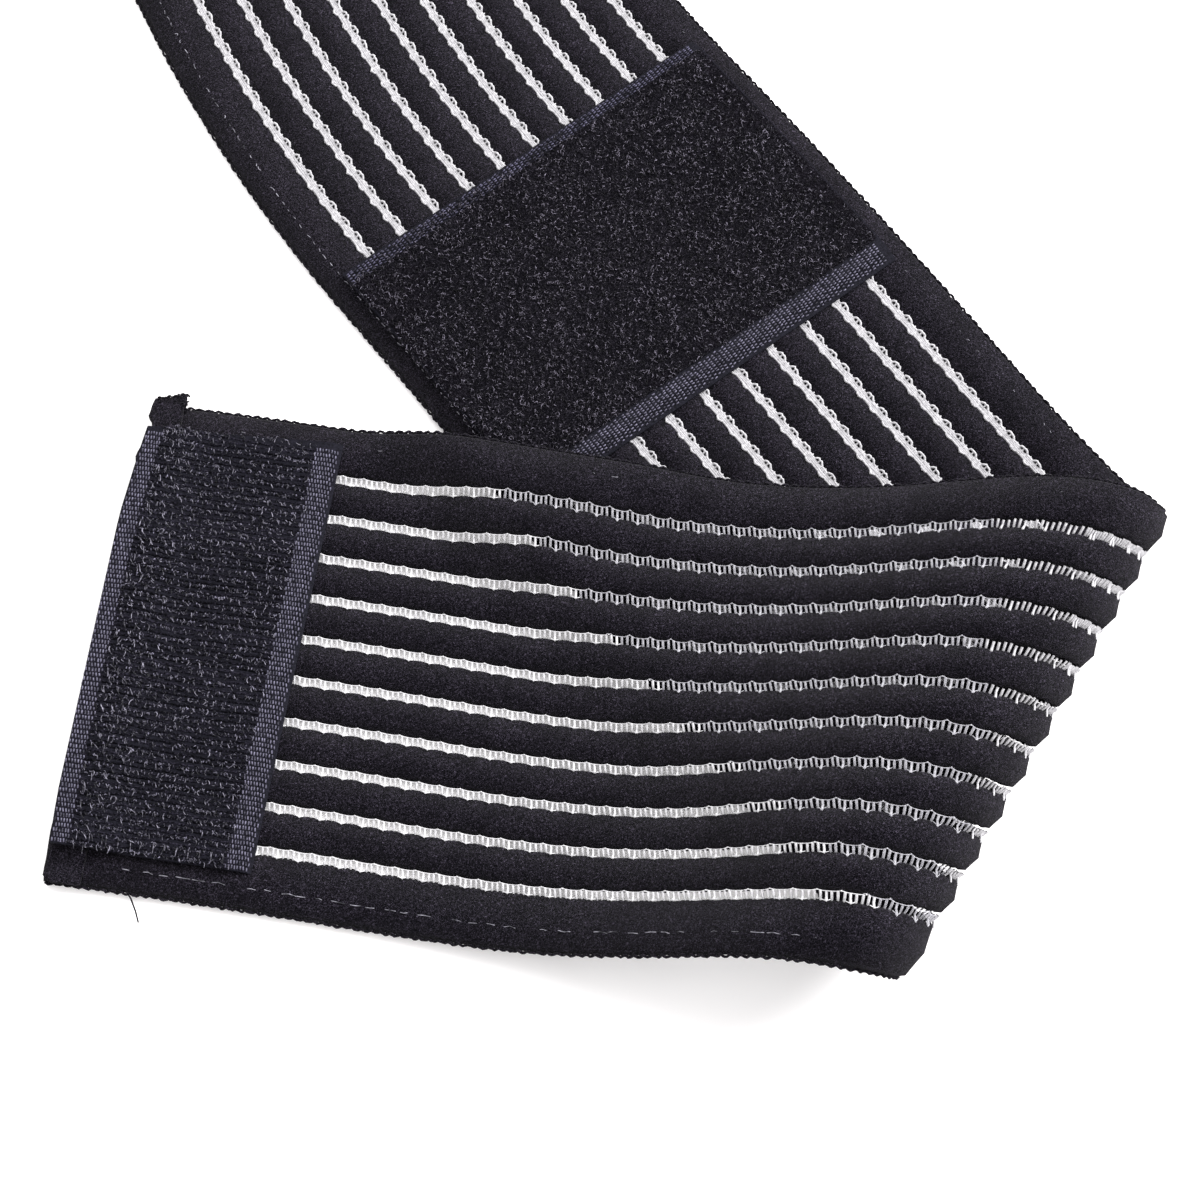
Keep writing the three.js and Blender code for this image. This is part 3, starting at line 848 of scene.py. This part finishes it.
tall, small = [], []
for number, v in enumerate(np.arange(tape_low_v + 0.5, tape_high_v, 2 * RIDGE_PITCH)):
    first = field_starts + 0.2 + HOOK_SPACING / 2 * (number % 2)
    for u in np.arange(first, field_ends + 0.3, HOOK_SPACING):
        for _ in range(2 if u < field_starts + DENSER_WITHIN else 1):
            longer = max(0, 1 - (u - field_starts) / LONGER_WITHIN) * rng.uniform(0, 1)
            place_u, place_v = u + rng.normal(0, 0.16), min(v + rng.normal(0, 0.12), tape_end(u) - 0.3)
            heading = rng.normal(-1.1 - 0.2 * longer, 0.25)
            reach_out = rng.uniform(0.75, 1.05) + 0.8 * longer
            height, curl = rng.uniform(0.5, 0.8), rng.normal(0.05, 0.2)
            tall.append(hook_route(place_u, place_v, heading, reach_out, height, curl, 6))
for _ in range(SMALL_CURLS):
    u = rng.uniform(field_starts - 0.2, field_ends + 0.2)
    v = tape_low_v + 0.3 + 2 * RIDGE_PITCH * rng.integers(0, len(ridge_v) // 2) + rng.normal(0, 0.26)
    heading, reach_out = rng.uniform(0, 2 * math.pi), rng.uniform(0.25, 0.55)
    height, curl = rng.uniform(0.4, 0.6), rng.normal(0, 0.15)
    small.append(hook_route(u, min(v, tape_end(u) - 0.2), heading, reach_out, height, curl, 4))
for u in np.arange(field_starts + 5, field_ends, 1.8):
    tall.append(hook_route(u, tape_low_v + 2.2, rng.normal(-1.5, 0.1), 1.7, 0.6, 0.1, 6))
# Both are the one clear dark filament; the light shade of each is painted highlight, stronger on the tall
# hooks than on the small curls.
filament_painted_highlights = yarn_material(
    "filament_painted_highlights", (0.004, 0.004, 0.007), (0.42, 0.4, 0.5), 1100.0, 0.44, 0.76,
    spread=0.12, roughness=0.4, specular=0.3,
)
dark_filament = yarn_material(
    "dark_filament", (0.001, 0.001, 0.002), (0.26, 0.246, 0.32), 1400.0, 0.45, 0.76,
    spread=0.14, roughness=0.4, specular=0.2,
)
hooks, small_hooks = (
    lay_on_tape(name, cord_mesh(name, routes, HOOK_RADIUS), material)
    for name, routes, material in (
        ("tape_hooks", tall, filament_painted_highlights), ("tape_small_hooks", small, dark_filament),
    )
)

# The loop pad: a knitted nylon ground brushed into a mat of small curls, with a woven strip along each of
# its two long edges, by which it is sewn to the band's other face.
PAD_GROUND = 0.9  # its thickness
PAD_EDGE, PILE_END = 0.085, 0.947  # the shares along it where the pile starts and ends
CURLS_A_LAYER, CURL_RADIUS = 4600, 0.052
STRAY_CURLS = 0.03  # the share of curls that lie beyond the side thread


def pad_point(share_u, share_v, w):
    u = pad_from + share_u * PAD_ALONG
    v = -HALF + PAD_MARGIN + share_v * (BAND_WIDTH - 2 * PAD_MARGIN)
    flat = np.interp(share_u, (0, 0.03, 0.98, 1), (0.3, 1, 1, 0.3))
    return u, v, -(FACE + (GAP + w) * flat)


pad_mesh = flat_slab_mesh("loop_pad_ground", (0, 0, 0), (1, 1, 1), (20, 24), 0.004)
reshape(pad_mesh, lambda x, y, z: pad_point(x, y, z * PAD_GROUND))
pad_mesh.flip_normals()
pad_ground = lay_piece("loop_pad_ground", pad_mesh, tape_material, smooth=False)
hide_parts("loop_pad")

dark_dash_material = yarn_material(
    "dark_navy_yarn", (0.002, 0.002, 0.005), (0.1, 0.094, 0.15), 700.0, roughness=0.6, specular=0.15
)
for name, low, high in (("pad_near_edge", 0.006, PAD_EDGE), ("pad_far_edge", 0.945, 0.995)):
    low_u, high_u = pad_from + low * PAD_ALONG, pad_from + high * PAD_ALONG
    mesh = woven_dashes(
        name, low_u, high_u, -HALF + PAD_MARGIN + 0.1, HALF - PAD_MARGIN - 0.3,
        lambda u, v: pad_point((u - pad_from) / PAD_ALONG, 0, PAD_GROUND)[2],
        rng, side=-1, size=0.9, stray=0.1,
    )
    material = dash_material if name == "pad_near_edge" else dark_dash_material
    lay_piece(name, mesh, material)

# The curls' light shade is painted highlight, where the black nylon catches the lamps.
curl_material = yarn_material(
    "black_curls", (0.0012, 0.001, 0.0022), (0.34, 0.31, 0.4), 1800.0, 0.49, 0.82,
    spread=0.14, roughness=0.6, specular=0.15,
)
for layer, proud in (("pad_curls_low", 0.0), ("pad_curls_high", 0.22)):
    routes = []
    for _ in range(CURLS_A_LAYER):
        if rng.random() > STRAY_CURLS:
            share_v = rng.uniform(-0.006, 0.955 + 0.008 * rng.normal())
        else:
            share_v = rng.uniform(0.95, 0.99)
        first = PAD_EDGE - 0.025 * rng.random() ** 2
        share_u = rng.uniform(first, 0.948 + 0.04 * rng.random() * (share_v < 0.6))
        u, v, w = pad_point(share_u, share_v, PAD_GROUND + proud)
        heading, size = rng.uniform(0, 2 * math.pi), rng.uniform(0.18, 0.42)
        around = np.linspace(-0.05, 1.1, 4) * math.pi
        side = size * np.cos(around)
        sway = rng.uniform(-0.45, 0.45) * np.sin(around) + rng.normal(0, 0.06, 4)
        routes.append(np.column_stack((
            u + side * math.cos(heading) + sway * math.sin(heading),
            v + side * math.sin(heading) - sway * math.cos(heading),
            w - rng.uniform(0.25, 0.5) * np.sin(around),
        )))
    lay_piece(layer, cord_mesh(layer, routes, CURL_RADIUS), curl_material)
share = np.linspace(PAD_EDGE, 0.93, 40)
side_route = np.column_stack(pad_point(share, 0.962 + 0.004 * np.sin(share * 40), PAD_GROUND + 0.03))
side_mesh = cord_mesh("pad_side_thread", [side_route], 0.12)
side_thread = lay_piece("pad_side_thread", side_mesh, dash_material)
mat_mesh = flat_slab_mesh("pad_mat", (0, 0, 0), (1, 1, 1), (20, 24), 0.01)
reshape(mat_mesh, lambda x, y, z: pad_point(
    PAD_EDGE + x * (PILE_END - PAD_EDGE), 0.004 + y * 0.992, PAD_GROUND - 0.1 + z * 0.3,
))
mat_mesh.flip_normals()
# The mat's lighter flecks are painted highlight too.
mat_material = fleece_material(
    "black_mat", (0.001, 0.0008, 0.002), (0.06, 0.054, 0.072), 3200.0, 1.0, 0.0004,
    roughness=0.9, specular=0.05,
)
mat = lay_piece("pad_mat", mat_mesh, mat_material)
